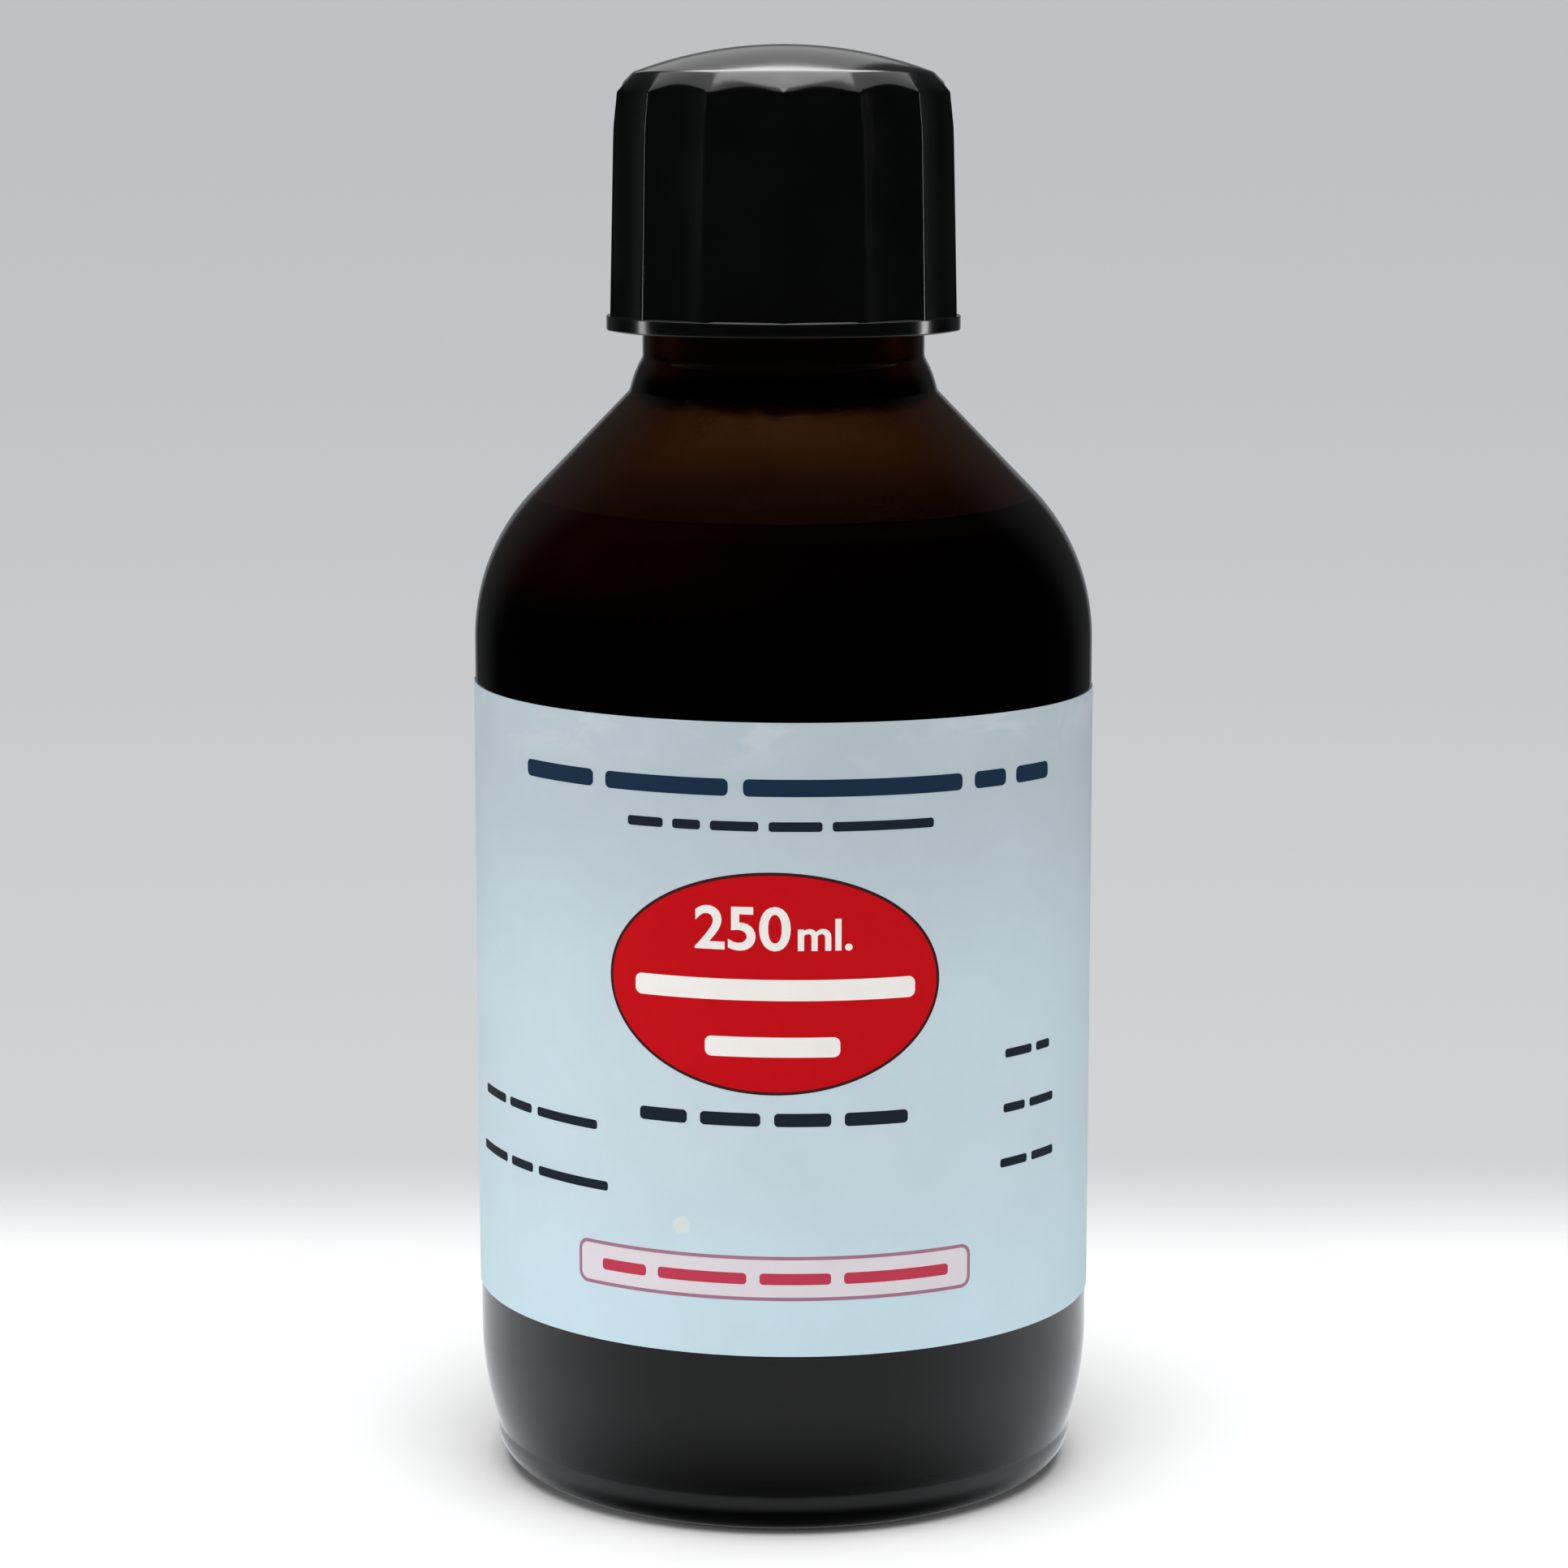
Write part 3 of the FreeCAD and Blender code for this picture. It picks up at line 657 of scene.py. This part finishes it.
new_object("cap_liner_wad", *turned(backing_path, disc_angles, squeezed), "liner", "liner_foam", foam(), "cap_liner_backing")

film_low = []
for r in np.concatenate([np.linspace(0.0, 10.6, 9), np.linspace(10.8, 14.4, 25)]):
    press = 0.09 * (smoothstep(11.2, 11.9, r) - smoothstep(13.2, 13.9, r))
    film_low.append((float(r), 141.36 + float(press)))
film_path = joined(film_low, [(14.7, 141.37), (14.82, 141.42), (14.84, 141.48), (14.82, 141.55), (14.7, 141.59)],
                   [(r, 141.60) for r in np.linspace(14.4, 0.0, 12)])
new_object("cap_liner_film", *turned(film_path, disc_angles), "liner", "liner_film", film(), "cap_liner_facing")


# ---------------------------------------------------------------------------
# Label: a sheet wrapped round the body, set a little crooked, with its print
# ---------------------------------------------------------------------------
WRAP_R = 32.1
SHEET_IN, SHEET_OUT = 32.0, 32.085
INK_IN, INK_OUT = 32.080, 32.097
CROOKED = 0.0070
HALF_WRAP = math.radians(170.0) * WRAP_R


def wrapped(s, z, r):
    """A point of the flat sheet, s along it from the front and z up it, on the round body."""
    a = -math.pi / 2 + s / WRAP_R
    return (r * math.cos(a), r * math.sin(a), z - CROOKED * s)


def sheet():
    cols, rows, corner = 340, 44, 1.6
    low, high = 19.3, 82.7
    grid = []
    for i in range(cols + 1):
        s = -HALF_WRAP + 2 * HALF_WRAP * i / cols
        d = HALF_WRAP - abs(s)
        cut = corner - math.sqrt(max(corner ** 2 - (corner - d) ** 2, 0.0)) if d < corner else 0.0
        grid.append([(s, low + cut + (high - low - 2 * cut) * j / rows) for j in range(rows + 1)])
    n = (cols + 1) * (rows + 1)
    verts = [wrapped(s, z, SHEET_OUT) for col in grid for s, z in col]
    verts += [wrapped(s, z, SHEET_IN) for col in grid for s, z in col]
    at = lambda i, j: i * (rows + 1) + j
    faces = []
    for i in range(cols):
        for j in range(rows):
            q = [at(i, j), at(i + 1, j), at(i + 1, j + 1), at(i, j + 1)]
            faces.append(q)
            faces.append([v + n for v in reversed(q)])
    edge = [at(i, 0) for i in range(cols)] + [at(cols, j) for j in range(rows)]
    edge += [at(i, rows) for i in range(cols, 0, -1)] + [at(0, j) for j in range(rows, 0, -1)]
    for p, q in zip(edge, edge[1:] + edge[:1]):
        faces.append([q, p, p + n, q + n])
    return verts, faces


label = new_object("label_sheet", *sheet(), "bottle", "label_paper", label_stock(), "label_paper", sharp=40)


def inked(name, loops, tone, low=INK_IN, high=INK_OUT, strip=0.7, made=None):
    """A thin layer of print. loops: outlines in (s, z), an inner one being a hole."""
    bm = bmesh.new()
    if made is None:
        edges = []
        for loop in loops:
            vs = [bm.verts.new((s, z, 0.0)) for s, z in loop]
            edges += [bm.edges.new((vs[i], vs[(i + 1) % len(vs)])) for i in range(len(vs))]
        bmesh.ops.triangle_fill(bm, use_beauty=True, use_dissolve=False, edges=edges, normal=(0, 0, 1))
    else:
        bm.from_mesh(made)
    left = min(v.co.x for v in bm.verts)
    right = max(v.co.x for v in bm.verts)
    for i in range(1, int((right - left) / strip) + 1):
        geom = bm.verts[:] + bm.edges[:] + bm.faces[:]
        bmesh.ops.bisect_plane(bm, geom=geom, dist=1e-5, plane_co=(left + i * strip, 0, 0), plane_no=(1, 0, 0))
    bmesh.ops.remove_doubles(bm, verts=bm.verts[:], dist=1e-4)
    bmesh.ops.dissolve_degenerate(bm, edges=bm.edges[:], dist=1e-4)
    for f in bm.faces:
        f.normal_update()
        if f.normal.z < 0:
            f.normal_flip()
    bm.verts.index_update()
    flat = [(v.co.x, v.co.y) for v in bm.verts]
    n = len(flat)
    verts = [wrapped(s, z, high) for s, z in flat] + [wrapped(s, z, low) for s, z in flat]
    faces = []
    for f in bm.faces:
        q = [v.index for v in f.verts]
        faces += [q, [v + n for v in reversed(q)]]
    for e in bm.edges:
        if len(e.link_faces) == 1:
            loop = next(x for x in e.link_loops)
            p, q = loop.vert.index, loop.link_loop_next.vert.index
            faces.append([q, p, p + n, q + n])
    bm.free()
    return new_object(name, verts, faces, "bottle", "label_paper", ink(name + "_ink", tone), sharp=40)


def oval(cs, cz, a, b, n=160):
    return [(cs + a * math.cos(TAU * i / n), cz + b * math.sin(TAU * i / n)) for i in range(n)]


def bar(s0, s1, z0, z1, corner=None, n=6):
    """A rule with rounded corners."""
    c = min(corner if corner is not None else (z1 - z0) / 2, (z1 - z0) / 2, (s1 - s0) / 2)
    out = []
    for cs, cz, a0 in ((s1 - c, z0 + c, -90), (s1 - c, z1 - c, 0), (s0 + c, z1 - c, 90), (s0 + c, z0 + c, 180)):
        for i in range(n + 1):
            a = math.radians(a0 + 90.0 * i / n)
            out.append((cs + c * math.cos(a), cz + c * math.sin(a)))
    return out


def words(s0, s1, z, height, shares, gap):
    """Plain rules of these relative lengths in a row, as stand-ins for a line of print."""
    room = (s1 - s0) - gap * (len(shares) - 1)
    out, at = [], s0
    for share in shares:
        size = room * share / sum(shares)
        out.append(bar(at, at + size, z - height / 2, z + height / 2, height * 0.32))
        at += size + gap
    return out


OVAL = (-1.0, 56.9, 17.0, 11.1)
inked("label_oval_line", [oval(*OVAL), oval(OVAL[0], OVAL[1], OVAL[2] - 0.30, OVAL[3] - 0.30)], (0.045, 0.010, 0.012))
inked("label_oval_field", [oval(OVAL[0], OVAL[1], OVAL[2] - 0.28, OVAL[3] - 0.28)], (0.525, 0.0030, 0.0070), high=INK_OUT - 0.006)


def figures(text, size, bold):
    """Flat outlines of plain figures, as a mesh in millimetres with its lower left corner at the origin."""
    curve = bpy.data.curves.new("figures", "FONT")
    curve.body = text
    curve.size = size
    curve.offset = bold
    curve.resolution_u = 6
    ob = bpy.data.objects.new("figures", curve)
    bpy.context.scene.collection.objects.link(ob)
    bpy.context.view_layer.update()
    mesh = bpy.data.meshes.new_from_object(ob.evaluated_get(bpy.context.evaluated_depsgraph_get()))
    bpy.data.objects.remove(ob)
    bpy.data.curves.remove(curve)
    co = np.array([v.co for v in mesh.vertices])
    return mesh, co.min(0), co.max(0)


def placed(mesh, low, high, s0, s1, z0, z1):
    """Fits those outlines to a box on the label."""
    for v in mesh.vertices:
        v.co.x = s0 + (v.co.x - low[0]) * (s1 - s0) / (high[0] - low[0])
        v.co.y = z0 + (v.co.y - low[1]) * (z1 - z0) / (high[1] - low[1])
        v.co.z = 0.0
    return mesh


WHITE = (0.86, 0.83, 0.80)
inked("label_figures", None, WHITE, low=INK_IN, high=INK_OUT,
      made=placed(*figures("250", 5.0, 0.09), -8.8, 0.7, 60.2, 64.6))
inked("label_unit", None, WHITE, low=INK_IN, high=INK_OUT,
      made=placed(*figures("ml.", 3.6, 0.07), 1.4, 6.8, 60.2, 63.4))
inked("label_oval_rules", words(-15.1, 13.3, 56.3, 2.1, (1.0,), 0.8) + words(-7.8, 5.6, 50.6, 2.0, (1.0,), 0.8), WHITE)

DARK = (0.012, 0.018, 0.028)
NAVY = (0.010, 0.028, 0.060)
inked("label_rules_head", words(-29.5, 31.1, 76.3, 1.7, (8, 11, 19, 3.5, 4.5), 1.5), NAVY)
inked("label_rules_small", words(-15.9, 15.3, 72.5, 0.95, (4, 3, 5, 5.5, 11), 1.0), DARK)
inked("label_rules_use", words(-14.7, 12.6, 43.3, 1.35, (5.0, 6.0, 5.6, 6.5), 1.35), DARK)
inked("label_rules_left", words(-40.4, -19.8, 41.3, 0.95, (4, 3, 6), 1.0) + words(-41.4, -18.5, 35.2, 0.95, (5, 3, 7), 1.0), DARK)
inked("label_rules_right", words(24.5, 31.9, 48.2, 0.9, (5, 3), 0.8) + words(24.3, 32.7, 42.6, 0.9, (3, 4), 0.8)
      + words(23.9, 32.8, 37.0, 0.9, (4, 4), 0.8), DARK)

inked("label_frame_line", [bar(-22.2, 19.9, 25.0, 29.5, 1.1), bar(-21.85, 19.55, 25.35, 29.15, 0.8)], (0.36, 0.17, 0.24))
inked("label_frame_field", [bar(-21.9, 19.6, 25.3, 29.2, 0.8)], (0.70, 0.66, 0.70), high=INK_OUT - 0.006)
inked("label_frame_rules", words(-19.2, 17.2, 27.2, 1.15, (5, 9, 7, 11), 1.3), (0.50, 0.045, 0.085))


# ---------------------------------------------------------------------------
# Studio: pale floor that fades into a grey backdrop, soft lights, camera
# ---------------------------------------------------------------------------
def floor():
    m = Nodes("studio_floor")
    m.set(Metallic=0.0)
    speck = m.noise(40.0, 3.0)
    m.colour(m.ramp(speck, [(0.3, (0.86, 0.86, 0.86)), (0.7, (0.88, 0.88, 0.88))]))
    m.rough(m.range(speck, 0.3, 0.7, 0.75, 0.85))
    spread = m.tree.nodes.new("ShaderNodeVectorMath")
    spread.operation = "LENGTH"
    m.link(m.place, spread.inputs[0])
    near = m.range(spread.outputs["Value"], 0.30, 0.50, 1.0, 0.0, True)
    behind = m.range(m.axis("Y"), 0.050, 0.130, 1.0, 0.0, True)
    top = m.tree.nodes.new("ShaderNodeNewGeometry").outputs["Backfacing"]
    seen = m.math("MULTIPLY", m.math("MULTIPLY", near, behind), m.math("SUBTRACT", 1.0, top))
    clear = m.tree.nodes.new("ShaderNodeBsdfTransparent")
    both = m.tree.nodes.new("ShaderNodeMixShader")
    m.link(seen, both.inputs[0])
    m.link(clear.outputs[0], both.inputs[1])
    m.link(m.shader.outputs[0], both.inputs[2])
    m.link(both.outputs[0], m.out.inputs["Surface"])
    mesh = bpy.data.meshes.new("studio_floor")
    n, size = 24, 0.6
    verts = [(size * (2 * i / n - 1), size * (2 * j / n - 1), 0.0) for i in range(n + 1) for j in range(n + 1)]
    at = lambda i, j: i * (n + 1) + j
    mesh.from_pydata(verts, [], [[at(i, j), at(i + 1, j), at(i + 1, j + 1), at(i, j + 1)] for i in range(n) for j in range(n)])
    mesh.materials.append(m.material)
    ob = bpy.data.objects.new("studio_floor", mesh)
    bpy.context.scene.collection.objects.link(ob)
    ob.location.z = -0.00002
    ob.visible_glossy = False


def backdrop():
    """A pale grey surround and even fill. What the glass and the cap mirror is dark, but for a light strip behind."""
    world = bpy.data.worlds.new("studio")
    world.use_nodes = True
    t = world.node_tree
    t.nodes.clear()

    def node(kind, *values):
        n = t.nodes.new(kind)
        for socket, value in zip(n.inputs, values):
            if isinstance(value, bpy.types.NodeSocket):
                t.links.new(value, socket)
            elif value is not None:
                socket.default_value = value
        return n

    def maths(kind, a, b):
        n = node("ShaderNodeMath", a, b)
        n.operation = kind
        return n.outputs[0]

    def steps(value, lo, hi, to_lo, to_hi):
        n = node("ShaderNodeMapRange", value, lo, hi, to_lo, to_hi)
        n.interpolation_type = "SMOOTHSTEP"
        return n.outputs["Result"]

    path = t.nodes.new("ShaderNodeLightPath")
    way = node("ShaderNodeSeparateXYZ", t.nodes.new("ShaderNodeTexCoord").outputs["Generated"])
    strip = maths("MULTIPLY", steps(way.outputs["Y"], *STRIP_Y, 0.0, STRIP), steps(way.outputs["Z"], 0.08, 0.22, 1.0, 0.0))
    lean = maths("ADD", way.outputs["Y"], maths("MULTIPLY", way.outputs["Z"], 0.35))
    sky = maths("ADD", strip, steps(lean, 0.55, 0.86, DARK_FRONT, DARK_BACK))
    ground = maths("MULTIPLY", steps(way.outputs["Y"], -0.90, 0.30, *GROUND), steps(way.outputs["Z"], -0.90, -0.32, 0.05, 1.0))
    down = steps(way.outputs["Z"], -0.235, -0.155, 1.0, 0.0)
    level = maths("ADD", maths("MULTIPLY", sky, maths("SUBTRACT", 1.0, down)), maths("MULTIPLY", ground, down))
    tint = node("ShaderNodeMix")
    tint.data_type = "RGBA"
    tint.blend_type = "MULTIPLY"
    tint.inputs["Factor"].default_value = 1.0
    t.links.new(level, tint.inputs[6])
    tint.inputs[7].default_value = (0.97, 1.0, 1.03, 1.0)
    mirrored = node("ShaderNodeBackground", tint.outputs[2], 1.0)
    seen = node("ShaderNodeBackground", (0.970, 0.990, 1.008, 1.0), steps(way.outputs["Z"], -0.32, 0.02, 0.68, 0.535))
    fill = node("ShaderNodeBackground", (1.0, 1.0, 1.0, 1.0), FILL)
    direct = maths("MAXIMUM", path.outputs["Is Camera Ray"], path.outputs["Is Transmission Ray"])
    rest = node("ShaderNodeMixShader", path.outputs["Is Diffuse Ray"], mirrored.outputs[0], fill.outputs[0])
    both = node("ShaderNodeMixShader", direct, rest.outputs[0], seen.outputs[0])
    node("ShaderNodeOutputWorld", both.outputs[0])
    bpy.context.scene.world = world


def softbox(name, place, aim, wide, high, watts, mirrored=False, only=None):
    data = bpy.data.lights.new(name, "AREA")
    data.shape = "RECTANGLE"
    data.size, data.size_y, data.energy = wide, high, watts
    ob = bpy.data.objects.new(name, data)
    bpy.context.scene.collection.objects.link(ob)
    ob.location = place
    away = [a - b for a, b in zip(aim, place)]
    yaw = math.atan2(away[1], away[0])
    ob.rotation_euler = (math.acos(max(-1.0, min(1.0, -away[2] / math.sqrt(sum(x * x for x in away))))), 0.0, yaw - math.pi / 2)
    ob.visible_glossy = mirrored
    ob.visible_camera = False
    ob.visible_transmission = False
    ob.visible_diffuse = not mirrored
    if only is not None:
        lit = bpy.data.collections.new(name + "_lights")
        lit.objects.link(only)
        ob.light_linking.receiver_collection = lit
    return ob


FILL = 0.20                      # even light from all round
STRIP, STRIP_Y = 0.20, (0.93, 0.985)
DARK_FRONT, DARK_BACK = 0.005, 0.045
GROUND = (0.50, 0.92)            # the pale floor as the glass mirrors it, in front and behind

floor()
backdrop()
softbox("softbox_top", (0.0, -0.20, 0.95), (0.0, -0.12, 0.0), 0.9, 0.9, 13.0)
softbox("softbox_left", (-1.0, -0.24, 0.24), (0.0, 0.0, 0.04), 0.6, 0.5, 3.6)
softbox("softbox_right", (0.95, -0.36, 0.30), (0.0, 0.0, 0.05), 0.6, 0.5, 1.8)
softbox("softbox_back", (0.0, 1.0, 0.40), (0.0, 0.0, 0.06), 0.9, 0.6, 3.2)
softbox("softbox_cap", (0.0, 0.06, 0.75), (0.0, 0.07, 0.0), 0.50, 1.45, 9.0, mirrored=True, only=cap)
softbox("softbox_cap_wide", (0.0, 0.05, 0.80), (0.0, 0.06, 0.0), 1.8, 1.5, 9.0, mirrored=True, only=cap)
softbox("softbox_cap_back", (-0.06, 0.90, 0.57), (0.0, 0.0, 0.14), 0.36, 0.46, 0.28, mirrored=True, only=cap)
softbox("panel_left", (-0.78, 0.18, 0.14), (0.0, 0.0, 0.13), 0.10, 0.44, 0.80, mirrored=True, only=cap)
softbox("panel_right", (0.78, 0.18, 0.14), (0.0, 0.0, 0.13), 0.10, 0.44, 1.05, mirrored=True, only=cap)

camera = bpy.data.cameras.new("camera")
camera.sensor_width = 36.0
camera.lens = 100.19
camera.shift_x = 0.6 / 1932.0
camera.clip_start = 0.01
viewer = bpy.data.objects.new("camera", camera)
bpy.context.scene.collection.objects.link(viewer)
viewer.location = (0.0, -0.44983, 0.1433)
viewer.rotation_euler = (math.pi / 2 - 0.158, 0.0, 0.0)
bpy.context.scene.camera = viewer
bpy.context.scene.view_settings.view_transform = "Standard"
